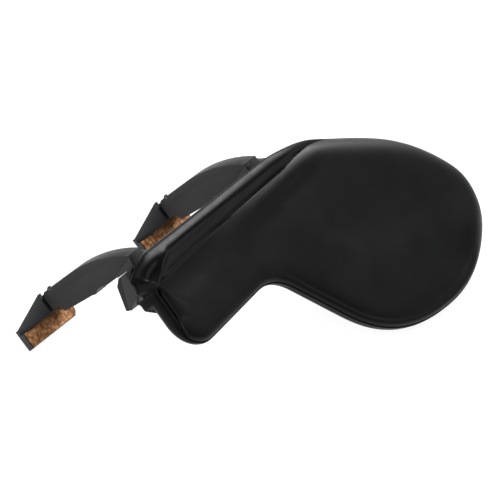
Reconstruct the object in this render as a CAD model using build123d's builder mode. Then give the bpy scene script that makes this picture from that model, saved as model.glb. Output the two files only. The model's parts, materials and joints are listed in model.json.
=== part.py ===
from build123d import *
import os
from math import atan2, degrees, sqrt

# A violin shoulder rest that clamps over the edge of the instrument.  All sizes are in millimetres.
#
# Working frame: the pad lies level.  X runs along the clamp bar, from the near arm to the far arm,
# Y points out past the violin's rib, and Z points up through the pad, away from the violin.
# The origin is the nose of the pad's raised bead.  At the end every piece is stood on the two feet
# and the edge of the large lobe, which is how the rest stands on a table.

# ---- pad -------------------------------------------------------------------------------------
# Corners of the pad's outline and the radius that rounds each of them.
PAD_CORNERS = [
    (11, 0),
    (122, 0),
    (168, -23),
    (183, -52.5),
    (153, -75.5),
    (98, -74),
    (66, -30.5),
    (9, -35),
]
PAD_RADII = [8, 75, 56, 15, 61, 43, 17, 14]
RIM_TOP_Z = -6.0        # top of the rim around the cushion
FLOOR_TOP_Z = -10.0     # the cushion sits on this
PAD_BOTTOM_Z = -12.0
PAD_EDGE_R = 4.5        # rounding under the pad's edge
RIM_WIDTH = 3.0
CUSHION_TOP_Z = -5.0
CUSHION_GAP = 0.2       # between the cushion's side and the rim
CUSHION_EDGE_R = 1.5
# The bead's outline: a nose at the near end, and at the far end it runs into the pad's own outline.
BEAD_PLAN = [
    (1.2, -1.4),
    (7.5, 1.8),
    (14.0, 2.6),
    (92.0, 2.6),
    (112.0, -0.4),
    (134.0, -14.0),
    (8.0, -14.0),
    (7.5, -9.4),
    (2.4, -6.4),
]
BEAD_END_X = 134.0
BEAD_FADE_X = 94.0      # the bead sinks into the rim from here on
BEAD_CREST_Y = 0.6
BEAD_FRONT_Y = 2.6
BEAD_LIP_Z = -3.6       # under the bead's front edge
BEAD_VALLEY_Y = -8.9
CUSHION_FRONT_Y = -10.6
SKIRT_START_X = 8.5
SKIRT_LIP = (-11.4, -13.7)

# ---- tilt hinge ------------------------------------------------------------------------------
HINGE_Y, HINGE_Z = -4.4, -7.6
SHAFT_R = 2.0
THREAD_R = 1.5          # the shaft's threaded ends
RUNNING_GAP = 0.05      # radial clearance of a turning pin
BARREL_R = 3.3
CHANNEL_R = 4.0         # hollow under the bead that turns around the barrel
EAR_WIDTH = 5.0
EAR_R = 3.2
WASHER_THICKNESS = 0.8
WASHER_R = 3.1
KNOB_R = 3.6
KNOB_LENGTH = 6.5
KNOB_END = 1.5          # the knob's closed end
BAY_R = 4.4             # hollow for the tilt knob
BAY_LENGTH = 9.5
FLUTE_COUNT = 10
FLUTE_R = 1.0
FLUTE_DEPTH = 0.5
EAR_CORNERS = [(-6.0, -10.5), (-9.0, -12.0), (-16.0, -12.0), (-16.0, -14.2), (-9.5, -14.2), (-3.0, -10.2)]
EAR_FOOT_YS = (-14.0, -30.0)
EAR_FOOT_WIDTH = 12.0
EAR_FOOT_THICKNESS = 2.2
EAR_SCREW_YS = (-18.5, -26.0)
EAR_SCREW_R = 1.1
EAR_SCREW_DEPTH = 1.5   # into the shell
EAR_HEAD_R = 2.0
EAR_HEAD = 1.4
EAR_SOCKET_R = 1.0
EAR_SOCKET_DEPTH = 0.8
NUT_SIZE = 4.8
NUT_THICKNESS = 1.8
NUT_X = 10.0
SHAFT_START_X = 7.0

# ---- hubs and lower jaws ----------------------------------------------------------------
ARM_PITCH = 77.6
ARM_X = 16.5            # middle of the near arm
HUB_START = 4.0
HUB_WIDTH = 22.0
HUB_TOP_Z = -6.0
HUB_FRONT_Y = 1.2
JAW_HEEL = (1.2, -9.7)  # outer and inner ends of the bearing line under the lower jaw
JAW_TOE = (-9.1, -15.4)
LINER_HEEL_Y = -0.1     # the rubber starts this far in, clear of the cheeks
LINER_THICKNESS = 1.2
CHEEK_THICKNESS = 2.4
CHEEK_INNER = 3.9       # from the middle of the arm to the inside of a cheek
LOCK_CHEEK_THICKNESS = 3.4

# ---- arms ------------------------------------------------------------------------------------
ARM_BACK_Y = 12.0       # outermost line of the arm
ARM_CURVE_R = 50.0      # the back of the arm above its straight end
ARM_CURVE_Z = -33.0
ARM_TOP_Z = -7.8
ARM_END_Z = -44.0
FLANGE_DEPTH = 2.4
FLANGE_WIDTH = 7.6
WEB_WIDTH = 6.8
ARM_GUIDE_Y = 1.4       # the arm's sliding face, beside the hub
ARM_CLOSE = 4.0         # travel towards the pad
ARM_OPEN = 3.0          # travel away from it
LOCK_Y, LOCK_Z = 3.3, -13.2
LOCK_R = 1.25
INSERT_R = 1.8
GROOVE_FLOOR = 0.5      # the lock screw's groove stops this far past the middle of the arm
PRESSURE_PAD = 1.2      # thickness of the nylon pad in front of the lock screw
LOCK_SCREW_START = GROOVE_FLOOR + 0.15 + PRESSURE_PAD + 0.05
LOCK_SOCKET_R = 0.72

# ---- feet ------------------------------------------------------------------------------------
PIVOT_Y, PIVOT_Z = 8.6, -52.4
PIVOT_R = 1.25
LUG_WIDTH = 4.4
LUG_R = 2.8
HOOD_TOP_Z = -49.6
FOOT_LENGTH = 29.5
FOOT_PLATE_TOP_Z = -58.0
FOOT_PLATE_THICKNESS = 1.1
HOOD_TOP_WIDTH = 8.0
HOOD_TOP_YS = (5.0, 12.6)
HOOD_FOOT_YS = (4.9, 7.0)
PLATE_YS = (-1.0, 7.0)
FOOT_SHIFT = 0.8        # the foot's middle is this far past the arm's
FORK_FLOOR_Z = -55.7
FORK_GAP = 0.15
PIN_REACH = 5.4
LIP_THICKNESS = 0.5
CORK_THICKNESS = 1.6
CORK_WIDTH = 5.6
CORK_LENGTH = 28.7
CORK_END_R = 2.6


# ---- outlines across the bar, as (Y, Z) corners ------------------------------------------------
HUB_STARTS = (HUB_START, HUB_START + ARM_PITCH)
HUBS_END_X = HUB_STARTS[1] + HUB_WIDTH
NEAR_EAR_X = HUB_START + HUB_WIDTH + WASHER_THICKNESS
FAR_EAR_X = HUB_STARTS[1] - WASHER_THICKNESS - EAR_WIDTH
EAR_STARTS = (NEAR_EAR_X, FAR_EAR_X)
SLEEVE_ENDS = (NEAR_EAR_X + EAR_WIDTH + WASHER_THICKNESS, FAR_EAR_X - WASHER_THICKNESS)
WASHER_STARTS = (
    NEAR_EAR_X - WASHER_THICKNESS,
    NEAR_EAR_X + EAR_WIDTH,
    FAR_EAR_X - WASHER_THICKNESS,
    FAR_EAR_X + EAR_WIDTH,
    HUBS_END_X,
)
BAY_START_X = HUBS_END_X + 0.4
THICK_SHAFT_ENDS = (NUT_X + NUT_THICKNESS, HUBS_END_X - 2.0)
SHAFT_END_X = HUBS_END_X + WASHER_THICKNESS + KNOB_LENGTH - KNOB_END - 0.1
jaw_run = sqrt((JAW_HEEL[0] - JAW_TOE[0]) ** 2 + (JAW_HEEL[1] - JAW_TOE[1]) ** 2)
JAW_SLOPE = (JAW_HEEL[1] - JAW_TOE[1]) / (JAW_HEEL[0] - JAW_TOE[0])
LINER_Y = -LINER_THICKNESS * (JAW_HEEL[1] - JAW_TOE[1]) / jaw_run
LINER_Z = LINER_THICKNESS * (JAW_HEEL[0] - JAW_TOE[0]) / jaw_run
JAW_FACE_HEEL = (JAW_HEEL[0] + LINER_Y, JAW_HEEL[1] + LINER_Z)
JAW_FACE_TOE = (JAW_TOE[0] + LINER_Y, JAW_TOE[1] + LINER_Z)


def jaw_face_z(y):
    """Height of the lower jaw's face, above the liner."""
    return JAW_FACE_HEEL[1] + JAW_SLOPE * (y - JAW_FACE_HEEL[0])


JAW_CORNERS = [
    (HINGE_Y, HUB_TOP_Z),
    (HUB_FRONT_Y, HUB_TOP_Z),
    (HUB_FRONT_Y, jaw_face_z(HUB_FRONT_Y)),
    JAW_FACE_TOE,
    (-10.2, -13.3),
    (-9.1, -11.6),
    (-7.9, -8.5),
]
LINER_HEEL = (LINER_HEEL_Y, JAW_HEEL[1] + JAW_SLOPE * (LINER_HEEL_Y - JAW_HEEL[0]))
LINER_CORNERS = [LINER_HEEL, (LINER_HEEL[0] + LINER_Y, LINER_HEEL[1] + LINER_Z), JAW_FACE_TOE, JAW_TOE]
NEAR_CHEEK_CORNERS = [
    (-1.0, HUB_TOP_Z),
    (2.0, HUB_TOP_Z),
    (4.4, -5.4),
    (2.1, -14.8),
    (HUB_FRONT_Y, -14.8),
    (HUB_FRONT_Y, jaw_face_z(HUB_FRONT_Y)),
    (-1.0, jaw_face_z(-1.0)),
]
LOCK_CHEEK_CORNERS = [
    (-1.0, HUB_TOP_Z),
    (2.0, HUB_TOP_Z - 0.5),
    (3.6, -10.0),
    (5.4, -12.4),
    (5.4, -15.0),
    (4.6, -15.7),
    (HUB_FRONT_Y, -15.7),
    (HUB_FRONT_Y, jaw_face_z(HUB_FRONT_Y)),
    (-1.0, jaw_face_z(-1.0)),
]
HOLLOW_END = [SKIRT_LIP, (SKIRT_LIP[0], -25), (4, -25), (4, BEAD_LIP_Z), (HINGE_Y, BEAD_LIP_Z)]
HOLLOW_CORNERS = [(HINGE_Y - CHANNEL_R, HINGE_Z), *HOLLOW_END]
BAY_CORNERS = [(HINGE_Y - BAY_R, HINGE_Z), *HOLLOW_END]
ARM_INNER_CORNERS = [
    (5.0, -46.0),
    (2.6, -44.5),
    (1.5, -31.0),
    (1.1, -29.4),
    (2.2, -27.4),
    (2.0, -25.0),
    (ARM_GUIDE_Y, -23.4),
    (ARM_GUIDE_Y, ARM_TOP_Z),
]
KNUCKLE_CORNERS = [(4.9, -44.0), (10.8, -44.0), (12.0, -45.2), (12.0, -47.4), (10.8, -48.6), (5.2, -48.6)]
LUG_CORNERS = [(5.6, -48.0), (11.4, -48.0), (11.4, PIVOT_Z), (5.8, PIVOT_Z)]


def yz(x):
    """The plane across the bar at x: its own x and y are the rest's Y and Z."""
    return Plane.YZ.offset(x)


def arm_back(z, depth=0.0):
    """Y of the arm's curved back at height z, or of a line that much inside it."""
    radius = ARM_CURVE_R - depth
    return ARM_BACK_Y - ARM_CURVE_R + sqrt(radius**2 - (z - ARM_CURVE_Z) ** 2)


pieces = {}

# ---- cushion ---------------------------------------------------------------------------------
with BuildSketch() as pad_outline:
    with BuildLine():
        FilletPolyline(*PAD_CORNERS, radius=PAD_RADII, close=True)
    make_face()

with BuildSketch() as cushion_outline:
    offset(pad_outline.sketch, amount=-RIM_WIDTH - CUSHION_GAP)
    with Locations((BEAD_END_X / 2, CUSHION_FRONT_Y)):
        Rectangle(2 * BEAD_END_X, 20, align=(Align.CENTER, Align.MIN), mode=Mode.SUBTRACT)

with BuildPart() as pad_cushion:
    add(cushion_outline.sketch.moved(Location((0, 0, FLOOR_TOP_Z))))
    extrude(amount=CUSHION_TOP_Z - FLOOR_TOP_Z)
    fillet(pad_cushion.faces().sort_by(Axis.Z)[-1].edges(), radius=CUSHION_EDGE_R)
pieces["pad_cushion"] = pad_cushion

# ---- shell -----------------------------------------------------------------------------------
with BuildPart() as pad_shell:
    add(pad_outline.sketch.moved(Location((0, 0, PAD_BOTTOM_Z))))
    extrude(amount=RIM_TOP_Z - PAD_BOTTOM_Z)
    fillet(pad_shell.faces().sort_by(Axis.Z)[0].edges(), radius=PAD_EDGE_R)
    # the skirt: a web that runs down from the floor beside the bar
    with BuildSketch(yz(SKIRT_START_X)):
        with BuildLine():
            skirt = ThreePointArc(SKIRT_LIP, (-14.6, -12.5), (-18.5, PAD_BOTTOM_Z))
            Polyline(skirt @ 1, (-18.5, FLOOR_TOP_Z), (SKIRT_LIP[0], FLOOR_TOP_Z), SKIRT_LIP)
        make_face()
    extrude(amount=BAY_START_X - SKIRT_START_X)
    # the bead, cut to its outline
    with BuildSketch(yz(BEAD_PLAN[0][0])):
        with BuildLine():
            front = ThreePointArc((BEAD_FRONT_Y, BEAD_LIP_Z), (2.1, -1.1), (BEAD_CREST_Y, 0))
            back = ThreePointArc(front @ 1, (-4.4, -1.75), (BEAD_VALLEY_Y, RIM_TOP_Z))
            Polyline(back @ 1, (BEAD_VALLEY_Y, -9.0), (BEAD_FRONT_Y, -9.0), front @ 0)
        make_face()
    extrude(amount=BEAD_END_X - BEAD_PLAN[0][0])
    with BuildSketch(Plane.XY.offset(PAD_BOTTOM_Z)):
        Rectangle(400, 200)
        add(pad_outline.sketch, mode=Mode.SUBTRACT)
        Polygon(*BEAD_PLAN, align=None, mode=Mode.SUBTRACT)
    extrude(amount=20, mode=Mode.SUBTRACT)
    with BuildSketch(Plane.XZ.offset(20)):
        with BuildLine():
            fade = TangentArc((BEAD_FADE_X, 0.0), (BEAD_END_X, RIM_TOP_Z), tangent=(1, 0))
            Polyline(fade @ 1, (BEAD_END_X, 1), (BEAD_FADE_X, 1), fade @ 0)
        make_face()
    extrude(amount=-40, mode=Mode.SUBTRACT)
    # the pocket for the cushion
    with BuildSketch(Plane.XY.offset(FLOOR_TOP_Z)):
        offset(cushion_outline.sketch, amount=CUSHION_GAP)
    extrude(amount=20, mode=Mode.SUBTRACT)
    # the hollow that turns around the bar, open below, and the bay for the tilt knob
    with BuildSketch(yz(-1)):
        with Locations((HINGE_Y, HINGE_Z)):
            Circle(CHANNEL_R)
        Polygon(*HOLLOW_CORNERS, align=None)
    extrude(amount=BAY_START_X + 1.0, mode=Mode.SUBTRACT)
    with BuildSketch(yz(BAY_START_X)):
        with Locations((HINGE_Y, HINGE_Z)):
            Circle(BAY_R)
        Polygon(*BAY_CORNERS, align=None)
    extrude(amount=BAY_LENGTH, mode=Mode.SUBTRACT)
    # room in the skirt for the feet of the two ears
    with BuildSketch(Plane.XY.offset(PAD_BOTTOM_Z)):
        for start in EAR_STARTS:
            with Locations((start + EAR_WIDTH / 2, -13)):
                Rectangle(EAR_FOOT_WIDTH + 1, 11.4)
    extrude(amount=-5, mode=Mode.SUBTRACT)
    for start in EAR_STARTS:
        with Locations(*[(start + EAR_WIDTH / 2, y, PAD_BOTTOM_Z) for y in EAR_SCREW_YS]):
            Cylinder(EAR_SCREW_R, 2 * EAR_SCREW_DEPTH + 0.4, mode=Mode.SUBTRACT)
pieces["pad_shell"] = pad_shell


def tilt_ear(start):
    """A bracket under the shell whose boss turns on the tilt shaft."""
    with BuildPart() as ear:
        with BuildSketch(yz(start)):
            with Locations((HINGE_Y, HINGE_Z)):
                Circle(EAR_R)
            Polygon(*EAR_CORNERS, align=None)
            with Locations((HINGE_Y, HINGE_Z)):
                Circle(SHAFT_R + RUNNING_GAP, mode=Mode.SUBTRACT)
        extrude(amount=EAR_WIDTH)
        with BuildSketch(Plane.XY.offset(PAD_BOTTOM_Z)):
            with Locations((start + EAR_WIDTH / 2, (EAR_FOOT_YS[0] + EAR_FOOT_YS[1]) / 2)):
                RectangleRounded(EAR_FOOT_WIDTH, EAR_FOOT_YS[0] - EAR_FOOT_YS[1], 2)
        extrude(amount=-EAR_FOOT_THICKNESS)
        with Locations(*[(start + EAR_WIDTH / 2, y, PAD_BOTTOM_Z) for y in EAR_SCREW_YS]):
            Cylinder(EAR_SCREW_R, 12, mode=Mode.SUBTRACT)
    return ear


for name, start in zip(("near", "far"), EAR_STARTS):
    pieces[f"tilt_ear_{name}"] = tilt_ear(start)

with BuildPart() as ear_screws:
    for start in EAR_STARTS:
        for y in EAR_SCREW_YS:
            head_z = PAD_BOTTOM_Z - EAR_FOOT_THICKNESS
            length = EAR_FOOT_THICKNESS + EAR_SCREW_DEPTH
            with Locations((start + EAR_WIDTH / 2, y, head_z)):
                Cylinder(EAR_SCREW_R, length, align=(Align.CENTER, Align.CENTER, Align.MIN))
                Cylinder(EAR_HEAD_R, EAR_HEAD, align=(Align.CENTER, Align.CENTER, Align.MAX))
            with BuildSketch(Plane.XY.offset(head_z - EAR_HEAD)):
                with Locations((start + EAR_WIDTH / 2, y)):
                    RegularPolygon(EAR_SOCKET_R, 6)
            extrude(amount=EAR_SOCKET_DEPTH, mode=Mode.SUBTRACT)
pieces["ear_screws"] = ear_screws


# ---- hubs ------------------------------------------------------------------------------------
def hub(start):
    """A hub on the tilt shaft: the barrel, the lower jaw, and two cheeks that guide an arm."""
    x = start + ARM_X - HUB_START
    with BuildPart() as body:
        with BuildSketch(yz(start)):
            with Locations((HINGE_Y, HINGE_Z)):
                Circle(BARREL_R)
            Polygon(*JAW_CORNERS, align=None)
        extrude(amount=HUB_WIDTH)
        with BuildSketch(yz(x - CHEEK_INNER - CHEEK_THICKNESS)):
            Polygon(*NEAR_CHEEK_CORNERS, align=None)
        extrude(amount=CHEEK_THICKNESS)
        with BuildSketch(yz(x + CHEEK_INNER)):
            Polygon(*LOCK_CHEEK_CORNERS, align=None)
        extrude(amount=LOCK_CHEEK_THICKNESS)
        with BuildSketch(yz(x + CHEEK_INNER)):
            with Locations((LOCK_Y, LOCK_Z)):
                Circle(INSERT_R)
        extrude(amount=LOCK_CHEEK_THICKNESS, mode=Mode.SUBTRACT)
    return body


with BuildPart() as hub_near:
    add(hub(HUB_STARTS[0]).part)
    with BuildSketch(yz(SHAFT_START_X)):
        with Locations((HINGE_Y, HINGE_Z)):
            Circle(THREAD_R + RUNNING_GAP)
    extrude(amount=HUB_WIDTH, mode=Mode.SUBTRACT)
    with BuildSketch(yz(THICK_SHAFT_ENDS[0])):
        with Locations((HINGE_Y, HINGE_Z)):
            Circle(SHAFT_R + RUNNING_GAP)
    extrude(amount=HUB_WIDTH, mode=Mode.SUBTRACT)
    # pocket for the square nut that holds the shaft, open at the top
    with BuildSketch(Plane.XY.offset(HINGE_Z - NUT_SIZE / 2)):
        with Locations((NUT_X, HINGE_Y)):
            Rectangle(NUT_THICKNESS + 0.1, NUT_SIZE + 0.1)
    extrude(amount=10, mode=Mode.SUBTRACT)
pieces["hub_near"] = hub_near

with BuildPart() as hub_far:
    add(hub(HUB_STARTS[1]).part)
    with BuildSketch(yz(HUB_STARTS[1])):
        with Locations((HINGE_Y, HINGE_Z)):
            Circle(SHAFT_R + RUNNING_GAP)
    extrude(amount=THICK_SHAFT_ENDS[1] + RUNNING_GAP - HUB_STARTS[1], mode=Mode.SUBTRACT)
    with BuildSketch(yz(HUB_STARTS[1])):
        with Locations((HINGE_Y, HINGE_Z)):
            Circle(THREAD_R + RUNNING_GAP)
    extrude(amount=HUB_WIDTH, mode=Mode.SUBTRACT)
pieces["hub_far"] = hub_far

with BuildPart() as spacer_sleeve:
    with BuildSketch(yz(SLEEVE_ENDS[0])):
        with Locations((HINGE_Y, HINGE_Z)):
            Circle(BARREL_R)
            Circle(SHAFT_R + RUNNING_GAP, mode=Mode.SUBTRACT)
    extrude(amount=SLEEVE_ENDS[1] - SLEEVE_ENDS[0])
pieces["spacer_sleeve"] = spacer_sleeve

# ---- tilt shaft, nut, washers and knob -------------------------------------------------------
with BuildPart() as tilt_shaft:
    with BuildSketch(yz(SHAFT_START_X)):
        with Locations((HINGE_Y, HINGE_Z)):
            Circle(THREAD_R)
    extrude(amount=SHAFT_END_X - SHAFT_START_X)
    chamfer(tilt_shaft.edges().filter_by(GeomType.CIRCLE), 0.3)
    with BuildSketch(yz(THICK_SHAFT_ENDS[0])):
        with Locations((HINGE_Y, HINGE_Z)):
            Circle(SHAFT_R)
    extrude(amount=THICK_SHAFT_ENDS[1] - THICK_SHAFT_ENDS[0])
pieces["tilt_shaft"] = tilt_shaft

with BuildPart() as tilt_nut:
    with BuildSketch(yz(NUT_X - NUT_THICKNESS / 2)):
        with Locations((HINGE_Y, HINGE_Z)):
            Rectangle(NUT_SIZE, NUT_SIZE)
            Circle(THREAD_R, mode=Mode.SUBTRACT)
    extrude(amount=NUT_THICKNESS)
pieces["tilt_nut"] = tilt_nut

with BuildPart() as tilt_washers:
    for start in WASHER_STARTS:
        with BuildSketch(yz(start)):
            with Locations((HINGE_Y, HINGE_Z)):
                Circle(WASHER_R)
                Circle(SHAFT_R + RUNNING_GAP, mode=Mode.SUBTRACT)
        extrude(amount=WASHER_THICKNESS)
pieces["tilt_washers"] = tilt_washers


with BuildPart() as tilt_knob:
    with BuildSketch(yz(HUBS_END_X + WASHER_THICKNESS)):
        with Locations((HINGE_Y, HINGE_Z)):
            Circle(KNOB_R)
            with PolarLocations(KNOB_R + FLUTE_R - FLUTE_DEPTH, FLUTE_COUNT):
                Circle(FLUTE_R, mode=Mode.SUBTRACT)
    extrude(amount=KNOB_LENGTH)
    with BuildSketch(yz(HUBS_END_X + WASHER_THICKNESS)):
        with Locations((HINGE_Y, HINGE_Z)):
            Circle(THREAD_R + RUNNING_GAP)
    extrude(amount=KNOB_LENGTH - KNOB_END, mode=Mode.SUBTRACT)
pieces["tilt_knob"] = tilt_knob


# ---- jaw liners ------------------------------------------------------------------------------
def jaw_liner(start):
    """The rubber strip under a lower jaw."""
    with BuildPart() as liner:
        with BuildSketch(yz(start)):
            Polygon(*LINER_CORNERS, align=None)
        extrude(amount=HUB_WIDTH)
    return liner


# ---- arms ------------------------------------------------------------------------------------
def arm(x):
    """A bowed arm: a plate with a flange along its back, a knuckle and a lug for the foot."""
    with BuildPart() as body:
        with BuildSketch(yz(x - WEB_WIDTH / 2)):
            with BuildLine():
                bow = ThreePointArc(
                    (arm_back(ARM_TOP_Z), ARM_TOP_Z),
                    (arm_back(-20), -20),
                    (ARM_BACK_Y, ARM_CURVE_Z),
                )
                Polyline(bow @ 1, (ARM_BACK_Y, ARM_END_Z), *ARM_INNER_CORNERS, bow @ 0)
            make_face()
        extrude(amount=WEB_WIDTH)
        with BuildSketch(yz(x - FLANGE_WIDTH / 2)):
            with BuildLine():
                outer = ThreePointArc(
                    (arm_back(ARM_TOP_Z), ARM_TOP_Z),
                    (arm_back(-20), -20),
                    (ARM_BACK_Y, ARM_CURVE_Z),
                )
                inner = ThreePointArc(
                    (ARM_BACK_Y - FLANGE_DEPTH, ARM_CURVE_Z),
                    (arm_back(-20, FLANGE_DEPTH), -20),
                    (arm_back(ARM_TOP_Z, FLANGE_DEPTH), ARM_TOP_Z),
                )
                flange_end = (ARM_BACK_Y - FLANGE_DEPTH, ARM_END_Z)
                Polyline(outer @ 1, (ARM_BACK_Y, ARM_END_Z), flange_end, inner @ 0)
                Line(inner @ 1, outer @ 0)
            make_face()
        extrude(amount=FLANGE_WIDTH)
        with BuildSketch(yz(x - WEB_WIDTH / 2)):
            Polygon(*KNUCKLE_CORNERS, align=None)
        extrude(amount=WEB_WIDTH)
        with BuildSketch(yz(x - LUG_WIDTH / 2)):
            Polygon(*LUG_CORNERS, align=None)
            with Locations((PIVOT_Y, PIVOT_Z)):
                Circle(LUG_R)
        extrude(amount=LUG_WIDTH)
        # blind groove for the tip of the lock screw
        with BuildSketch(yz(x + GROOVE_FLOOR)):
            with Locations((LOCK_Y, LOCK_Z - (ARM_CLOSE - ARM_OPEN) / 2)):
                SlotCenterToCenter(ARM_CLOSE + ARM_OPEN, 2 * (LOCK_R + 0.12), rotation=90)
        extrude(amount=WEB_WIDTH, mode=Mode.SUBTRACT)
        with BuildSketch(yz(x - LUG_WIDTH)):
            with Locations((PIVOT_Y, PIVOT_Z)):
                Circle(PIVOT_R + RUNNING_GAP)
        extrude(amount=2 * LUG_WIDTH, mode=Mode.SUBTRACT)
    return body


def lock_insert(x):
    """The brass thread in the hub's cheek."""
    with BuildPart() as insert:
        with BuildSketch(yz(x + CHEEK_INNER)):
            with Locations((LOCK_Y, LOCK_Z)):
                Circle(INSERT_R)
                Circle(LOCK_R + RUNNING_GAP, mode=Mode.SUBTRACT)
        extrude(amount=LOCK_CHEEK_THICKNESS)
    return insert


def lock_screw(x):
    """The socket set screw that locks the arm."""
    end = CHEEK_INNER + LOCK_CHEEK_THICKNESS
    with BuildPart() as screw:
        with BuildSketch(yz(x + LOCK_SCREW_START)):
            with Locations((LOCK_Y, LOCK_Z)):
                Circle(LOCK_R)
        extrude(amount=end - LOCK_SCREW_START)
        chamfer(screw.edges().filter_by(GeomType.CIRCLE), 0.2)
        with BuildSketch(yz(x + end - 1.6)):
            with Locations((LOCK_Y, LOCK_Z)):
                RegularPolygon(LOCK_SOCKET_R, 6)
        extrude(amount=3, mode=Mode.SUBTRACT)
    return screw


def lock_pad(x):
    """The nylon disc between the set screw and the arm."""
    with BuildPart() as disc:
        with BuildSketch(yz(x + GROOVE_FLOOR + 0.15)):
            with Locations((LOCK_Y, LOCK_Z)):
                Circle(LOCK_R - 0.05)
        extrude(amount=PRESSURE_PAD)
    return disc


# ---- feet ------------------------------------------------------------------------------------
def foot(x):
    """A hammer-head foot: a hood forked around the arm's lug, on a plate that holds the cork."""
    middle = x + FOOT_SHIFT
    with BuildPart() as body:
        with BuildSketch(Plane.XY.offset(HOOD_TOP_Z)):
            with Locations((x, (HOOD_TOP_YS[0] + HOOD_TOP_YS[1]) / 2)):
                Rectangle(HOOD_TOP_WIDTH, HOOD_TOP_YS[1] - HOOD_TOP_YS[0])
        with BuildSketch(Plane.XY.offset(FOOT_PLATE_TOP_Z)):
            with Locations((middle, (HOOD_FOOT_YS[0] + HOOD_FOOT_YS[1]) / 2)):
                Rectangle(FOOT_LENGTH, HOOD_FOOT_YS[1] - HOOD_FOOT_YS[0])
        loft(ruled=True)
        with BuildSketch(Plane.XY.offset(FOOT_PLATE_TOP_Z)):
            with Locations((middle, (PLATE_YS[0] + PLATE_YS[1]) / 2)):
                Rectangle(FOOT_LENGTH, PLATE_YS[1] - PLATE_YS[0])
        extrude(amount=-FOOT_PLATE_THICKNESS)
        # the lip at the near end of the cork
        with BuildSketch(Plane.XY.offset(FOOT_PLATE_TOP_Z)):
            with Locations((middle - FOOT_LENGTH / 2 + LIP_THICKNESS / 2, HOOD_FOOT_YS[0])):
                Rectangle(LIP_THICKNESS, HOOD_FOOT_YS[0] - PLATE_YS[0], align=(Align.CENTER, Align.MAX))
        extrude(amount=CORK_THICKNESS - 0.4)
        with BuildSketch(Plane.XY.offset(FORK_FLOOR_Z)):
            with Locations((x, 8)):
                Rectangle(LUG_WIDTH + 2 * FORK_GAP, 20)
        extrude(amount=20, mode=Mode.SUBTRACT)
        with BuildSketch(yz(x - PIN_REACH)):
            with Locations((PIVOT_Y, PIVOT_Z)):
                Circle(PIVOT_R)
        extrude(amount=30, mode=Mode.SUBTRACT)
    return body


def foot_pin(x):
    """The pin that the foot tilts on."""
    with BuildPart() as pin:
        with BuildSketch(yz(x - PIN_REACH)):
            with Locations((PIVOT_Y, PIVOT_Z)):
                Circle(PIVOT_R)
        extrude(amount=2 * PIN_REACH)
    return pin


def cork(x):
    """The cork strip on a foot, round at its far end."""
    start = x + FOOT_SHIFT - FOOT_LENGTH / 2 + LIP_THICKNESS + 0.1
    with BuildPart() as strip:
        with BuildSketch(Plane.XY.offset(FOOT_PLATE_TOP_Z)):
            with Locations((start + CORK_LENGTH / 2, HOOD_FOOT_YS[0] - 0.1 - CORK_WIDTH / 2)):
                Rectangle(CORK_LENGTH, CORK_WIDTH)
        extrude(amount=CORK_THICKNESS)
        fillet(strip.edges().filter_by(Axis.Z).group_by(Axis.X)[-1], CORK_END_R)
    return strip


for name, shift in (("near", 0), ("far", ARM_PITCH)):
    x = ARM_X + shift
    pieces[f"jaw_liner_{name}"] = jaw_liner(HUB_START + shift)
    pieces[f"arm_{name}"] = arm(x)
    pieces[f"lock_insert_{name}"] = lock_insert(x)
    pieces[f"lock_screw_{name}"] = lock_screw(x)
    pieces[f"lock_pad_{name}"] = lock_pad(x)
    pieces[f"foot_{name}"] = foot(x)
    pieces[f"foot_pin_{name}"] = foot_pin(x)
    pieces[f"cork_{name}"] = cork(x)

# ---- stand it on its two feet and the lobe, centred over the origin ----------------------------
pad_low_y = pad_outline.sketch.bounding_box().min.Y
edge_y = pad_low_y + PAD_EDGE_R
edge_z = PAD_BOTTOM_Z + PAD_EDGE_R
toe_y = PLATE_YS[0]
toe_z = FOOT_PLATE_TOP_Z - FOOT_PLATE_THICKNESS
rise = edge_z - toe_z
reach = toe_y - edge_y
LEAN = 90 - degrees(atan2(reach, rise)) - degrees(atan2(PAD_EDGE_R, sqrt(rise**2 + reach**2)))
leaning = Compound([piece.part.moved(Location((0, 0, 0), (LEAN, 0, 0))) for piece in pieces.values()])
box = leaning.bounding_box()
stance = Location((-box.center().X, -box.center().Y, -box.min.Z), (LEAN, 0, 0))

os.makedirs("parts", exist_ok=True)
for name, piece in pieces.items():
    piece.part = piece.part.moved(stance)
    piece.part.label = name
    export_step(piece.part, f"parts/{name}.step")
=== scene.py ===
"""A violin shoulder rest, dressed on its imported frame.

Working axes, in millimetres: X along the clamp bar from the near arm to the far arm, Y out past the
violin's rib, Z up through the pad.  place() turns them into the frame's own axes, in metres.
"""
import json

import bmesh
import bpy
import numpy as np
from mathutils import Matrix, Vector
from mathutils.geometry import delaunay_2d_cdt

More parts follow.
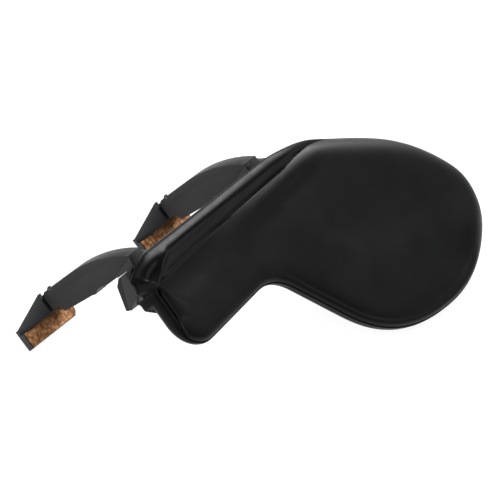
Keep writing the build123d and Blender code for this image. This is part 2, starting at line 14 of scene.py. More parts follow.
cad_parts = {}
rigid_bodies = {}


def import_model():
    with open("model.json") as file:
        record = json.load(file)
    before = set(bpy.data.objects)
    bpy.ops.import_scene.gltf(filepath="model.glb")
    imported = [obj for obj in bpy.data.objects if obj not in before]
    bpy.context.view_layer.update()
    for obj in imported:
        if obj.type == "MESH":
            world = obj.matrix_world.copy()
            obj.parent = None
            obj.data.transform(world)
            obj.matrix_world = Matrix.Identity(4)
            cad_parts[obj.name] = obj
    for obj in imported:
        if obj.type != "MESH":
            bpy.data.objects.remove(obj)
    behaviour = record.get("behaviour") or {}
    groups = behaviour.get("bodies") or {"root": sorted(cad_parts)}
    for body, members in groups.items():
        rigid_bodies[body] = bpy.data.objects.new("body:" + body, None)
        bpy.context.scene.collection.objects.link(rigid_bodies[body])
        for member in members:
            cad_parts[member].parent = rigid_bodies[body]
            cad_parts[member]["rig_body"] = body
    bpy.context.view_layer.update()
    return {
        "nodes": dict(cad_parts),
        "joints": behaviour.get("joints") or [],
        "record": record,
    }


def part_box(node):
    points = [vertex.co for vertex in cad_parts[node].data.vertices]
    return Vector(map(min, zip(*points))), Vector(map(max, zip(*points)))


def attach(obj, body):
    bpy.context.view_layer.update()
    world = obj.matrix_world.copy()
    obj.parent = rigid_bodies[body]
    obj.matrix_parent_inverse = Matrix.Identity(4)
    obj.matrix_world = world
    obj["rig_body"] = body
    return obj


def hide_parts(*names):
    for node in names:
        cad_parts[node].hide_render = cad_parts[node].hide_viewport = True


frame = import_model()

# ---- the working axes, from the arm's slide and the tilt shaft ---------------------------------
HINGE_YZ = (-4.4, -7.6)
SHAFT_START = 7.0
UP = np.array(next(j["axis"] for j in frame["joints"] if j["name"] == "arm_slide_near"))
TURN = np.array([[1, 0, 0], [0, UP[2], -UP[1]], UP]).T
SHAFT_LOW, SHAFT_HIGH = (np.array(corner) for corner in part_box("tilt_shaft"))
SHAFT_END = np.array([SHAFT_LOW[0], *((SHAFT_LOW + SHAFT_HIGH) / 2)[1:]])
SHIFT = SHAFT_END - TURN @ np.array([SHAFT_START, *HINGE_YZ]) / 1000


def place(points):
    """Points in working millimetres as points of the frame, in metres."""
    return np.asarray(points, float) @ TURN.T / 1000 + SHIFT


# ---- camera ------------------------------------------------------------------------------------
RIGHT = np.array([0.503, -0.603, 0.619])
ABOVE = np.array([0.400, 0.797, 0.451])
TOWARDS = np.array([-0.765, 0.021, 0.642])
AIM_RIGHT, AIM_ABOVE, AIM_TOWARDS = 39.6, 7.8, -60.0
VIEW_WIDTH = 169.3
CAMERA_DISTANCE = 6000.0
CLIP_END = 20.0
SENSOR = 36.0

camera_data = bpy.data.cameras.new("camera")
camera_data.sensor_width = SENSOR
camera_data.lens = SENSOR * CAMERA_DISTANCE / VIEW_WIDTH
camera_data.clip_end = CLIP_END
camera = bpy.data.objects.new("camera", camera_data)
bpy.context.scene.collection.objects.link(camera)
axes = np.array([TURN @ RIGHT, TURN @ ABOVE, TURN @ TOWARDS])
axes[1] -= axes[1] @ axes[2] * axes[2]
axes[1] /= np.linalg.norm(axes[1])
axes[2] /= np.linalg.norm(axes[2])
axes[0] = np.cross(axes[1], axes[2])
target = AIM_RIGHT * RIGHT + AIM_ABOVE * ABOVE + AIM_TOWARDS * TOWARDS
stand = place(target + CAMERA_DISTANCE * TOWARDS)
camera.matrix_world = Matrix.Translation(stand) @ Matrix(axes.T.tolist()).to_4x4()
bpy.context.scene.camera = camera
bpy.context.scene.view_settings.view_transform = "Standard"


# ---- materials ---------------------------------------------------------------------------------
class Nodes:
    """A new material and its node tree."""

    def __init__(self, name):
        self.material = bpy.data.materials.new(name)
        self.material.use_nodes = True
        self.tree = self.material.node_tree
        self.shader = self.tree.nodes["Principled BSDF"]
        self.where = self.add("ShaderNodeTexCoord").outputs["Object"]

    def add(self, kind, **values):
        node = self.tree.nodes.new(kind)
        for key, value in values.items():
            if key in node.inputs:
                node.inputs[key].default_value = value
            else:
                setattr(node, key, value)
        return node

    def link(self, a, b):
        self.tree.links.new(a, b)

    def noise(self, scale, detail=3.0, roughness=0.5):
        node = self.add("ShaderNodeTexNoise", Scale=scale, Detail=detail, Roughness=roughness)
        self.link(self.where, node.inputs["Vector"])
        return node.outputs["Fac"]

    def spots(self, scale):
        node = self.add("ShaderNodeTexVoronoi", Scale=scale)
        self.link(self.where, node.inputs["Vector"])
        return node.outputs["Distance"]

    def ramp(self, source, *stops):
        """Colours, or single grey values, at the given positions of the source."""
        node = self.add("ShaderNodeValToRGB")
        ramp = node.color_ramp
        while len(ramp.elements) < len(stops):
            ramp.elements.new(0.5)
        for element, (position, color) in zip(ramp.elements, stops):
            element.position = position
            element.color = (*color, 1) if len(color) == 3 else (color[0],) * 3 + (1,)
        self.link(source, node.inputs["Fac"])
        return node.outputs["Color"]

    def bump(self, source, strength, distance, normal=None):
        node = self.add("ShaderNodeBump", Strength=strength, Distance=distance)
        self.link(source, node.inputs["Height"])
        if normal is not None:
            self.link(normal, node.inputs["Normal"])
        return node.outputs["Normal"]

    def feed(self, socket, source):
        self.link(source, self.shader.inputs[socket])

    def hold(self, socket, value):
        self.shader.inputs[socket].default_value = value


def plastic(name, dark, light, roughness, grain=0.25, specular=0.5):
    """Moulded plastic: a fine spark-eroded grain, cloudy sheen and slightly uneven colour."""
    m = Nodes(name)
    m.hold("Specular IOR Level", specular)
    m.feed("Base Color", m.ramp(m.noise(55, 4), (0.3, dark), (0.7, light)))
    cloud = m.noise(160, 5, 0.6)
    m.feed("Roughness", m.ramp(cloud, (0.3, (roughness - 0.04,)), (0.7, (roughness + 0.05,))))
    coarse = m.bump(m.noise(2600, 2), grain * 0.5, 0.00006)
    m.feed("Normal", m.bump(m.noise(6500, 2), grain, 0.00003, coarse))
    return m.material


def soft_skin():
    """The cushion's skin: matte, almost smooth, with a fine pebble and a faint sheen."""
    m = Nodes("cushion_skin")
    m.hold("Specular IOR Level", 0.14)
    dark, light = (0.0050, 0.0053, 0.0058), (0.0064, 0.0067, 0.0073)
    m.feed("Base Color", m.ramp(m.noise(38, 5), (0.3, dark), (0.7, light)))
    m.feed("Roughness", m.ramp(m.noise(90, 4), (0.3, (0.41,)), (0.7, (0.49,))))
    pebble = m.bump(m.spots(1500), 0.18, 0.00005)
    m.feed("Normal", m.bump(m.noise(4200, 3), 0.22, 0.00005, pebble))
    return m.material


def cork_grain():
    """Agglomerated cork: pale granules, dark flecks and small open pores."""
    granule_scale, fleck_scale = 620, 1500
    pale, middle, brown = (0.85, 0.48, 0.23), (0.58, 0.30, 0.14), (0.30, 0.14, 0.06)
    clear, stain, pore = (1.0, 1.0, 1.0), (0.62, 0.50, 0.40), (0.16, 0.10, 0.06)
    m = Nodes("cork")
    m.hold("Specular IOR Level", 0.2)
    grains = m.ramp(m.spots(granule_scale), (0.12, pale), (0.45, middle), (0.8, brown))
    flecks = m.ramp(m.noise(fleck_scale, 6, 0.75), (0.40, clear), (0.56, stain), (0.66, pore))
    mix = m.add("ShaderNodeMix", data_type="RGBA", blend_type="MULTIPLY")
    mix.inputs["Factor"].default_value = 0.9
    m.link(grains, mix.inputs[6])
    m.link(flecks, mix.inputs[7])
    m.feed("Base Color", mix.outputs[2])
    m.feed("Roughness", m.ramp(m.noise(900, 4), (0.3, (0.78,)), (0.7, (0.95,))))
    granules = m.bump(m.spots(granule_scale), 0.5, 0.00018)
    m.feed("Normal", m.bump(m.noise(fleck_scale, 6, 0.75), 0.6, 0.00022, granules))
    return m.material


def metal(name, color, roughness):
    """Turned or drawn metal: fine scratches along the bar and a little tarnish."""
    m = Nodes(name)
    m.hold("Metallic", 1.0)
    dull = tuple(0.8 * c for c in color)
    m.feed("Base Color", m.ramp(m.noise(240, 5), (0.3, dull), (0.65, color)))
    stretch = m.add("ShaderNodeMapping")
    stretch.inputs["Scale"].default_value = (120, 2600, 2600)
    m.link(m.where, stretch.inputs["Vector"])
    lines = m.add("ShaderNodeTexNoise", Scale=1.0, Detail=3.0)
    m.link(stretch.outputs["Vector"], lines.inputs["Vector"])
    scratches = lines.outputs["Fac"]
    m.feed("Roughness", m.ramp(scratches, (0.3, (roughness - 0.08,)), (0.7, (roughness + 0.1,))))
    m.feed("Normal", m.bump(scratches, 0.2, 0.00003))
    return m.material


BLACK = (0.009, 0.0092, 0.0095), (0.0115, 0.0117, 0.0121)
SLOT_MATERIALS = {
    "cushion": soft_skin(),
    "shell": plastic(
        "shell_plastic", (0.0050, 0.0051, 0.0054), (0.0064, 0.0066, 0.0069), 0.38, 0.25, 0.055
    ),
    "clamp": plastic("clamp_plastic", *BLACK, 0.46, 0.25, 0.4),
    "arm": plastic("arm_plastic", *BLACK, 0.50, 0.25, 0.35),
    "foot": plastic("foot_plastic", (0.0085, 0.0092, 0.0106), (0.0115, 0.0124, 0.0140), 0.42),
    "liner": plastic("liner_rubber", (0.012,) * 3, (0.017,) * 3, 0.70, 0.5, 0.3),
    "cork": cork_grain(),
    "steel": metal("bright_steel", (0.50, 0.50, 0.51), 0.32),
    "brass": metal("turned_brass", (0.62, 0.43, 0.18), 0.30),
    "nylon": plastic("nylon", (0.62, 0.60, 0.55), (0.70, 0.68, 0.63), 0.45),
}
SLOT_OF = {s["node"]: s["material_slot"] for s in frame["record"]["subparts"]}
for name, node in frame["nodes"].items():
    for material_slot in node.material_slots:
        material_slot.material = SLOT_MATERIALS[SLOT_OF[name]]


# ---- mesh helpers ------------------------------------------------------------------------------
def piece(name, points, faces, slot, body, node):
    """A smooth mesh piece in working millimetres, riding on a body in place of a CAD node."""
    mesh = bpy.data.meshes.new(name)
    mesh.from_pydata(place(points).tolist(), [], [tuple(int(i) for i in f) for f in faces])
    mesh.validate()
    mesh.materials.append(SLOT_MATERIALS[slot])
    mesh.shade_smooth()
    thing = bpy.data.objects.new(name, mesh)
    bpy.context.scene.collection.objects.link(thing)
    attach(thing, body)
    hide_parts(node)
    return thing


def rounded(corners, radii, arc_steps, run_steps):
    """A closed outline of straight runs and arcs, with a set number of points on each."""
    corners = [np.array(c, float) for c in corners]
    arcs = []
    for i, corner in enumerate(corners):
        before = corners[i - 1] - corner
        after = corners[(i + 1) % len(corners)] - corner
        before /= np.linalg.norm(before)
        after /= np.linalg.norm(after)
        half = np.arccos(np.clip(before @ after, -1, 1)) / 2
        middle = (before + after) / np.linalg.norm(before + after)
        centre = corner + middle * radii[i] / np.sin(half)
        first = corner + before * radii[i] / np.tan(half) - centre
        last = corner + after * radii[i] / np.tan(half) - centre
        sweep = np.arctan2(first[0] * last[1] - first[1] * last[0], first @ last)
        angles = sweep * np.arange(arc_steps[i] + 1) / arc_steps[i]
        turned = np.outer(np.cos(angles), first) + np.outer(np.sin(angles), [-first[1], first[0]])
        arcs.append(centre + turned)
    points = []
    for i, arc in enumerate(arcs):
        points.append(arc)
        end = arcs[(i + 1) % len(arcs)][0]
        steps = np.arange(1, run_steps[i])[:, None] / run_steps[i]
        points.append(arc[-1] + steps * (end - arc[-1]))
    return np.vstack(points)


def smooth_ring(ring, rounds):
    """The ring with its small corners relaxed."""
    for _ in range(rounds):
        ring = ring / 2 + (np.roll(ring, 1, 0) + np.roll(ring, -1, 0)) / 4
    return ring


def ring_faces(rings, count):
    """Quads between consecutive rings of the same number of points."""
    faces = []
    for j in range(rings - 1):
        a, b = j * count, (j + 1) * count
        for i in range(count):
            k = (i + 1) % count
            faces.append((a + i, a + k, b + k, b + i))
    return faces


def ease(value, start, end):
    """0 before start, 1 after end, smooth between."""
    t = np.clip((value - start) / (end - start), 0, 1)
    return t * t * (3 - 2 * t)


# ---- outlines of the pad, corner for corner -----------------------------------------------------
# For each corner: the shell's edge and its radius, the ledge where the skin comes out and its radius,
# the root of the skin's border and its radius, then the points on the arc and on the run after it.
CORNERS = [
    ((13, 2.8), 16, (14.5, -8.8), 0.5, (22, -19.0), 0.6, 24, 80),
    ((97.5, 2.7), 60, (98, -4.1), 60, (98, -12), 30, 14, 12),
    ((124, -1.9), 75, (122, -4.7), 60, (118.5, -9.6), 45, 40, 6),
    ((169.3, -22.2), 56, (166, -26.0), 52, (158, -31.5), 44, 44, 12),
    ((184.0, -52.4), 15, (179.6, -52.2), 12, (173, -52.0), 9, 24, 8),
    ((153.0, -75.8), 61, (152.4, -72.4), 58, (150, -66.5), 50, 60, 16),
    ((97.8, -74.2), 43, (99.6, -71.0), 46, (103, -65.0), 52, 36, 16),
    ((66.0, -30.6), 17, (67.2, -27.2), 20, (71, -21.0), 24, 22, 30),
    ((8.0, -35.2), 11.5, (11.8, -31.8), 9, (19, -25.5), 1.8, 24, 60),
    ((9.2, -9.6), 1.5, (12.6, -13), 1.0, (18.6, -22.5), 0.8, 10, 6),
    ((3.2, -7.2), 2.0, (12.9, -10.6), 0.6, (19, -20.6), 0.4, 10, 6),
    ((0.9, -1.8), 1.8, (13.4, -9.3), 0.5, (20, -19.8), 0.3, 10, 8),
]
CORNER_ROUNDS, ROOT_ROUNDS, FAR_ROUNDS = 6, 60, 180
FAR_OUTSET = 0.75


def outline(column, rounds):
    """The outline whose corners and radii stand in this column and the next."""
    table = list(zip(*CORNERS))
    return smooth_ring(rounded(table[column], table[column + 1], table[-2], table[-1]), rounds)


EDGE = outline(0, CORNER_ROUNDS)
LEDGE_END = outline(2, CORNER_ROUNDS)
ROOT_END = outline(4, ROOT_ROUNDS)
COUNT = len(EDGE)
far_side = ease(EDGE[:, 0], 90, 125)[:, None]
for _ in range(FAR_ROUNDS):
    EDGE = EDGE + far_side * (smooth_ring(EDGE, 1) - EDGE)


def inset(gap):
    """The edge's outline moved in by a gap at each point."""
    run = np.roll(EDGE, -1, 0) - np.roll(EDGE, 1, 0)
    run /= np.linalg.norm(run, axis=1)[:, None]
    return EDGE + np.column_stack([run[:, 1], -run[:, 0]]) * gap[:, None]


EDGE = inset(-FAR_OUTSET * far_side[:, 0])
EDGE_X, EDGE_Y = EDGE.T
IN_FRONT = np.arange(COUNT) < np.argmax(EDGE_X)
LEDGE_GAP, ROOT_GAP = 3.0, 9.0
ledge_front = np.interp(EDGE_X, [25, 98, 111, 120, 132], [10.6, 6.9, 4.8, 3.6, LEDGE_GAP])
root_front = np.interp(EDGE_X, [25, 98, 120, 132], [20.5, 14.5, 10.2, ROOT_GAP])
# The near end has its own ledge and root; past it they keep a gap from the edge.
past_end = ease(EDGE_X, 25, 50)[:, None]
LEDGE = LEDGE_END + past_end * (inset(np.where(IN_FRONT, ledge_front, LEDGE_GAP)) - LEDGE_END)
ROOT = ROOT_END + past_end * (inset(np.where(IN_FRONT, root_front, ROOT_GAP)) - ROOT_END)

# How much of the bead there is at each point of the edge, and how far along it the point lies.
AT_END = ~IN_FRONT & (EDGE_X < 14) & (EDGE_Y > -9.6)
BEAD = IN_FRONT * (1 - ease(EDGE_X, 100, 137)) + AT_END * ease(EDGE_Y, -9.6, -3.5)
FARNESS = ease(EDGE_X, 22, 96)

# Away from the bead the border changes along its way round: a bare rim at the near end, and the skin
# over the rim elsewhere, with a crease low on the far side, plump round its top and flat in between.
LEFT = (1 - ease(EDGE_X, 12, 24)) * ease(EDGE_Y, -31, -21)
LOWER = (1 - LEFT) * ~IN_FRONT * ease(EDGE_X, 62, 75) * (1 - ease(EDGE_X, 150, 170))
PLUMP = (1 - LEFT - LOWER) * ease(EDGE_X, 66, 90)
BORDERS = [LOWER, PLUMP, LEFT, 1 - LEFT - LOWER - PLUMP]
# Where the shell hangs down as a skirt beside the near hub.
SKIRT = ~IN_FRONT * (EDGE_X < 14) * ease(EDGE_Y, -13.6, -12.6) * ease(EDGE_X, 7.2, 8.5)


def path(v):
    """Plan points of one ring: v goes from 0 at the edge over 1 at the ledge to 2 at the root."""
    v = v[:, None]
    return np.where(v < 1, EDGE + (LEDGE - EDGE) * v, LEDGE + (ROOT - LEDGE) * (v - 1))


def section(ys, zs, edge, ledge, root):
    """A section drawn across the bead, its places as 0 to 2 on the path edge - ledge - root."""
    ys = np.array(ys, float)
    past_ledge = 1 + (ledge - ys) / (ledge - root)
    return list(zip(np.where(ys > ledge, (edge - ys) / (edge - ledge), past_ledge), zs))


def rings(near, far, *borders):
    """Rings of points from the sections of the bead's two ends, and of the four kinds of border."""
    if len(borders) == 1:
        borders = borders * len(BORDERS)
    made = []
    for j, ((v0, z0), (v1, z1)) in enumerate(zip(near, far)):
        v = BEAD * ((1 - FARNESS) * v0 + FARNESS * v1)
        z = BEAD * ((1 - FARNESS) * z0 + FARNESS * z1)
        for weight, border in zip(BORDERS, borders):
            v = v + (1 - BEAD) * weight * border[j][0]
            z = z + (1 - BEAD) * weight * border[j][1]
        made.append(np.column_stack([path(v), z]))
    return made


# ---- shell ---------------------------------------------------------------------------------------
# Where the edge, the ledge and the root stand at the two ends of the bead.
NEAR_ENDS = (2.7, -8.8, -19.5)
FAR_ENDS = (2.5, -4.4, -12.0)
UNDERSIDE = -12.0
BELOW_Y = [0, -1.0, -4.4, -5.9, -7.15, -8.0, -8.4, -9.4, -10.6, -11.3, -11.7, -13.2, -15.5, -19.5]
BELOW_Z = [-3.3, -3.55, -3.7, -3.65, -3.62, -3.6, -3.95, -4.8, -6.0, -7.6, -9.6, -12.3, -13.6]
BELOW_Z += [-13.6, -12.9, -12.3, UNDERSIDE]
near_below = section([2.7, 2.65, 2.2] + BELOW_Y, BELOW_Z, *NEAR_ENDS)
far_below = section([2.3, 2.25, 1.9] + BELOW_Y, BELOW_Z, *FAR_ENDS)
RIM_ROUND, RIM_WIDTH, RIM_SIDE = 4.5, 3, -7.5
FLOOR_WIDTH, ON_FLOOR = 6, 1.2
rim_below = []
for a in np.radians([0, 12, 24, 36, 46, 55, 63, 70, 77, 84, 90]):
    reach = RIM_ROUND * (1 - np.cos(a))
    v = reach / RIM_WIDTH if a < ON_FLOOR else 1 + (reach - RIM_WIDTH) / FLOOR_WIDTH
    rim_below.append((v, RIM_SIDE - RIM_ROUND * np.sin(a)))
rim_below += [(v, UNDERSIDE) for v in (1.33, 1.40, 1.48, 1.60, 1.75, 2.0)]
skirt_below = [
    (0, -7.5), (0, -8.3), (0.01, -9.1), (0.02, -9.9), (0.04, -10.7), (0.06, -11.5),
    (0.09, -12.3), (0.13, -13.1), (0.18, -13.7), (0.26, -14.1), (0.38, -14.3), (0.55, -14.3),
    (0.75, -14.0), (0.95, -13.4), (1.15, -12.7), (1.5, -12.2), (2.0, UNDERSIDE),
]
near_above = section(
    [2.7, 2.6, 2.2, 1.4, 0.5, -0.4, -1.2, -1.9, -2.7, -3.8, -5.2, -7.0, -8.8],
    [-3.0, -2.2, -1.55, -0.95, -0.45, -0.1, 0, -0.28, -1.0, -2.15, -3.3, -4.3, -4.85],
    *NEAR_ENDS,
)
far_above = section(
    [2.4, 2.35, 2.0, 1.4, 0.8, 0.2, -0.4, -0.9, -1.5, -2.2, -2.9, -3.6, -4.4],
    [-3.0, -2.5, -2.0, -1.65, -1.4, -1.2, -1.08, -1.1, -1.5, -2.2, -2.75, -3.1, -3.3],
    *FAR_ENDS,
)
RIM_VS = [0, 0.01, 0.04, 0.1, 0.2, 0.34, 0.48, 0.6, 0.72, 0.82, 0.9, 0.96, 1.0]
COVERED_ZS = [-7.5, -7.4, -7.3, -7.2, -7.15, -7.1, -7.1, -7.1, -7.1, -7.1, -7.1, -7.1, -7.2]
BARE_ZS = [-6.9, -6.5, -6.2, -5.95, -5.8, -5.72, -5.72, -5.78, -5.9, -6.1, -6.4, -6.9, -7.5]
covered_above = list(zip(RIM_VS, COVERED_ZS))
left_above = list(zip(RIM_VS, BARE_ZS))
near_pocket = [(1.02, -6.4), (1.17, -9.8), (1.99, -9.8)]
far_pocket = [(1.02, -3.25), (1.45, -9.8), (1.99, -9.8)]
rim_pocket = [(1.02, -8.0), (1.17, -9.8), (1.99, -9.8)]

SCOOP_X, SCOOP_Y, SCOOP_LENGTH, SCOOP_WIDTH, SCOOP_DEPTH = 9.0, -3.9, 4.6, 1.9, 1.5
DROOP, DROOP_START, DROOP_END = 1.5, 11, 0.5
NOSE_Y = -20
RIB_START, RIB_END = np.array([20.0, -2.4]), np.array([8.2, -9.4])
RIB_HEIGHT, RIB_SWELL, RIB_WIDTH = 0.9, 1.3, 1.7


def sculpt(points):
    """The bead's near end: a drooping nose, and a scoop closed off from the valley by a slanting rib."""
    x, y = points[:, 0], points[:, 1]
    scoop = SCOOP_DEPTH * np.exp(
        -(((x - SCOOP_X) / SCOOP_LENGTH) ** 2) - ((y - SCOOP_Y) / SCOOP_WIDTH) ** 2
    )
    droop = DROOP * (1 - ease(x, DROOP_END, DROOP_START)) * (y > NOSE_Y)
    along_rib = RIB_END - RIB_START
    share = np.clip((points[:, :2] - RIB_START) @ along_rib / (along_rib @ along_rib), 0, 1)
    away = np.linalg.norm(points[:, :2] - RIB_START - share[:, None] * along_rib, axis=1)
    swell = RIB_HEIGHT + RIB_SWELL * np.sin(np.pi * share)
    rib = swell * np.exp(-((away / RIB_WIDTH) ** 2))
    points[:, 2] += rib - scoop - droop
    return points


above_sections = (near_above, far_above, covered_above, covered_above, left_above, covered_above)
above = [sculpt(ring) for ring in rings(*above_sections)]
below = []
for ring, (v, z) in zip(rings(near_below, far_below, rim_below), skirt_below):
    lowered = np.column_stack([path(np.full(COUNT, v)), np.full(COUNT, z)])
    below.append(ring + SKIRT[:, None] * (lowered - ring))
shell_rings = below[::-1] + above + rings(near_pocket, far_pocket, rim_pocket)
for ring in shell_rings:
    # Nothing reaches below the surface that the part lies on.
    surface = -(1000 * SHIFT[2] + TURN[2, 1] * ring[:, 1]) / TURN[2, 2]
    ring[:, 2] = np.maximum(ring[:, 2], surface)
shell_faces = ring_faces(len(shell_rings), COUNT)
shell_faces.append(tuple(range(COUNT))[::-1])
shell_faces.append(tuple(range((len(shell_rings) - 1) * COUNT, len(shell_rings) * COUNT)))
piece("shell_moulding", np.vstack(shell_rings), shell_faces, "shell", "pad", "pad_shell")

# ---- cushion -------------------------------------------------------------------------------------
FACE_Z = -4.8
near_skin = [
    (1.05, -9.4), (1.0, -7.4), (0.98, -5.6), (0.985, -5.0), (1.0, -4.87), (1.03, -4.9),
    (1.08, -4.95), (1.18, -5.03), (1.35, -5.12), (1.55, -5.12), (1.78, -5.0), (2.0, FACE_Z),
]
far_skin = [
    (1.10, -4.6), (1.04, -4.4), (0.99, -3.9), (0.985, -3.45), (1.0, -3.32), (1.03, -3.26),
    (1.1, -3.1), (1.2, -2.9), (1.33, -2.75), (1.5, -2.85), (1.75, -3.4), (2.0, -4.0),
]
over_rim = [(1.08, -9.4), (1.03, -8.2), (0.6, -7.8), (0.12, -7.6), (0.16, -6.9)]
lower_skin = over_rim + [
    (0.25, -6.1), (0.45, -5.75), (0.78, -5.6), (0.96, -5.72), (1.08, -5.45), (1.4, -5.05),
    (2.0, FACE_Z),
]
plump_skin = over_rim + [
    (0.4, -5.8), (0.7, -5.0), (1.0, -4.35), (1.2, -3.78), (1.45, -3.3), (1.7, -3.05), (2.0, -2.95),
]
flat_skin = over_rim + [
    (0.25, -6.1), (0.5, -5.6), (0.85, -5.25), (1.15, -5.08), (1.4, -4.98), (1.7, -4.88),
    (2.0, FACE_Z),
]
left_skin = [
    (1.06, -9.4), (1.06, -8.2), (1.06, -7.2), (1.06, -6.6), (1.07, -6.2), (1.1, -5.8),
    (1.24, -5.5), (1.34, -5.25), (1.48, -5.05), (1.64, -4.92), (1.82, -4.85), (2.0, FACE_Z),
]
skin_rings = rings(near_skin, far_skin, lower_skin, plump_skin, left_skin, flat_skin)

RISE, RISE_START, RISE_END = 0.55, 4, 26
RIPPLE, RIPPLE_LENGTH = 0.16, 2.6
BEND_X, BEND_Y, BEND_LENGTH, BEND_WIDTH = 66, -22, 14, 9


def crown(points):
    """The pad rises a little from its border and ripples softly where the outline bends in."""
    plan = points[:, :2]
    away = np.sqrt(((plan[:, None, :] - LEDGE[::4][None, :, :]) ** 2).sum(2)).min(1)
    at_bend = -(((plan[:, 0] - BEND_X) / BEND_LENGTH) ** 2) - ((plan[:, 1] - BEND_Y) / BEND_WIDTH) ** 2
    ripple = RIPPLE * np.sin(away / RIPPLE_LENGTH) * np.exp(at_bend)
    points[:, 2] += RISE * ease(away, RISE_START, RISE_END) + ripple
    return points


# The face inside the border, in a triangular grid that carries the border's height inwards.
FACE_STEP = 2.4
HEIGHT_REACH = 18
WELD = 0.00002
inner = skin_rings[-1][:, :2]
xs = np.arange(inner[:, 0].min(), inner[:, 0].max(), FACE_STEP)
ys = np.arange(inner[:, 1].min(), inner[:, 1].max(), FACE_STEP)
grid = np.array([(x + (row % 2) * FACE_STEP / 2, y) for row, y in enumerate(ys) for x in xs])
to_border = np.sqrt(((grid[:, None, :] - inner[None, ::2, :]) ** 2).sum(2)).min(1)
grid = grid[to_border > FACE_STEP * 0.6]
face_plan = [Vector(p) for p in np.vstack([inner, grid]).tolist()]
loop = [(i, (i + 1) % COUNT) for i in range(COUNT)]
verts, _, tris, _, _, _ = delaunay_2d_cdt(face_plan, loop, [], 1, 1e-6)
face_points = np.array([(v.x, v.y, FACE_Z) for v in verts])
border_rise = skin_rings[-1][:, 2] - FACE_Z
for point in face_points:
    gap = np.sqrt(((inner - point[:2]) ** 2).sum(1))
    share = 1 / (gap + 0.05) ** 2
    fade = np.exp(-((gap.min() / HEIGHT_REACH) ** 2))
    point[2] += (border_rise * share).sum() / share.sum() * fade
skin_points = np.vstack([crown(ring) for ring in skin_rings] + [crown(face_points)])
skin_faces = ring_faces(len(skin_rings), COUNT)
face_start = len(skin_rings) * COUNT
skin_faces += [tuple(face_start + i for i in t) for t in tris]
skin_faces.append(tuple(range(COUNT))[::-1])
cushion = piece("cushion", skin_points, skin_faces, "cushion", "pad", "pad_cushion")
joined = bmesh.new()
joined.from_mesh(cushion.data)
bmesh.ops.remove_doubles(joined, verts=joined.verts, dist=WELD)
bmesh.ops.recalc_face_normals(joined, faces=joined.faces)
joined.to_mesh(cushion.data)
joined.free()
cushion.data.shade_smooth()


# ---- moulded pieces with softened edges ----------------------------------------------------------
def round_edges(thing, width):
    bevel = thing.modifiers.new("edges", "BEVEL")
    bevel.width = width
    bevel.segments = 3
    bevel.harden_normals = True
    return bevel


def softened(node, name, width):
    """The CAD node's own shape with its edges rounded as a mould leaves them."""
    source = frame["nodes"][node]
    mesh = source.data.copy()
    mesh.name = name
    body = bmesh.new()
    body.from_mesh(mesh)
    bmesh.ops.remove_doubles(body, verts=body.verts, dist=0.000005)
    flat = np.radians(2.0)
    bmesh.ops.dissolve_limit(body, angle_limit=flat, verts=body.verts, edges=body.edges)
    body.to_mesh(mesh)
    body.free()
    thing = bpy.data.objects.new(name, mesh)
    bpy.context.scene.collection.objects.link(thing)
    bevel = round_edges(thing, width)
    bevel.limit_method = "ANGLE"
    bevel.angle_limit = np.radians(30)
    bevel.use_clamp_overlap = True
    mesh.shade_smooth()
    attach(thing, source["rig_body"])
    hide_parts(node)


def prism(name, corners, start, end, width, slot, body, node):
    """A straight moulding of one outline across the bar, with its edges rounded."""
    count = len(corners)
    points = [(x, *corner) for x in (start, end) for corner in corners]
    faces = [(i, (i + 1) % count, (i + 1) % count + count, i + count) for i in range(count)]
    faces += [tuple(range(count))[::-1], tuple(range(count, 2 * count))]
    thing = piece(name, np.array(points), faces, slot, body, node)
    turned = bmesh.new()
    turned.from_mesh(thing.data)
    bmesh.ops.recalc_face_normals(turned, faces=turned.faces)
    turned.to_mesh(thing.data)
    turned.free()
    round_edges(thing, width)


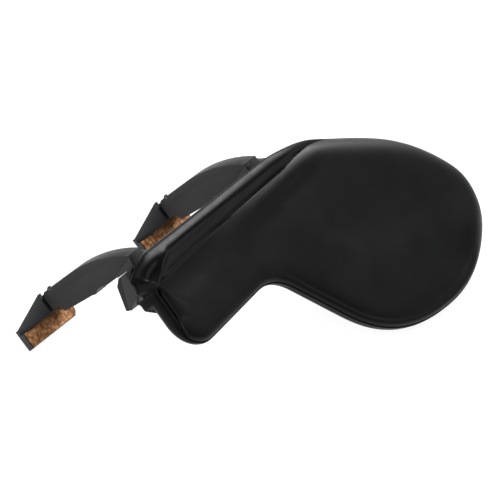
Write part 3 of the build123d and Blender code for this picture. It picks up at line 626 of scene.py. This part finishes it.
LINER_BEND = [(1.2, -9.6), (-0.9, -12.4), (-9.3, -15.6), (-9.9, -14.4), (0.8, -8.5)]
LINER_ROUND = 0.0003
HUB_START, HUB_WIDTH, PITCH = 4.0, 22.0, 77.6
for side, start in (("near", HUB_START), ("far", HUB_START + PITCH)):
    end = start + HUB_WIDTH
    liner, node = f"rubber_liner_{side}", f"jaw_liner_{side}"
    prism(liner, LINER_BEND, start, end, LINER_ROUND, "liner", "frame", node)
for side in ("near", "far"):
    softened(f"arm_{side}", f"bowed_arm_{side}", 0.0006)
    softened(f"hub_{side}", f"clamp_hub_{side}", 0.00035)
    softened(f"foot_{side}", f"hammer_foot_{side}", 0.0005)
    softened(f"tilt_ear_{side}", f"ear_{side}", 0.0003)
    softened(f"cork_{side}", f"cork_strip_{side}", 0.00018)
softened("tilt_knob", "fluted_knob", 0.00025)

# ---- floor and light -----------------------------------------------------------------------------
FLOOR_HALF = 6.0
FLOOR_GREY, FLOOR_GLOW, SKY = 0.3, 0.92, 0.16
WHITE = (1, 1, 1, 1)
floor_mesh = bpy.data.meshes.new("floor")
floor_corners = [(FLOOR_HALF * x, FLOOR_HALF * y, 0) for x, y in ((-1, -1), (1, -1), (1, 1), (-1, 1))]
floor_mesh.from_pydata(floor_corners, [], [(0, 1, 2, 3)])
floor = bpy.data.objects.new("floor", floor_mesh)
bpy.context.scene.collection.objects.link(floor)
paper = Nodes("paper")
paper.hold("Base Color", (*(FLOOR_GREY,) * 3, 1))
paper.hold("Roughness", 0.9)
paper.hold("Specular IOR Level", 0.0)
paper.hold("Emission Color", WHITE)
paper.hold("Emission Strength", FLOOR_GLOW)
floor_mesh.materials.append(paper.material)

world = bpy.data.worlds.new("studio")
world.use_nodes = True
world.node_tree.nodes["Background"].inputs["Color"].default_value = WHITE
world.node_tree.nodes["Background"].inputs["Strength"].default_value = SKY
bpy.context.scene.world = world


def softbox(name, towards, distance, size, power):
    """A square softbox looking at the middle of the pad from a direction in the working axes."""
    data = bpy.data.lights.new(name, "AREA")
    data.shape = "RECTANGLE"
    data.size = data.size_y = size
    data.energy = power
    light = bpy.data.objects.new(name, data)
    bpy.context.scene.collection.objects.link(light)
    direction = Vector((TURN @ np.array(towards, float)).tolist()).normalized()
    middle = Vector(place(np.array([95.0, -30.0, -8.0])).tolist())
    light.location = middle + direction * distance
    light.rotation_euler = direction.to_track_quat("Z", "Y").to_euler()


softbox("key", (0.716, 0.56, 0.368), 1.4, 0.6, 27)
softbox("side", (-0.9, 0.35, 0.45), 1.6, 0.9, 12)
softbox("top", (0.32, 0.62, 0.71), 1.5, 0.5, 5)

bpy.context.view_layer.update()
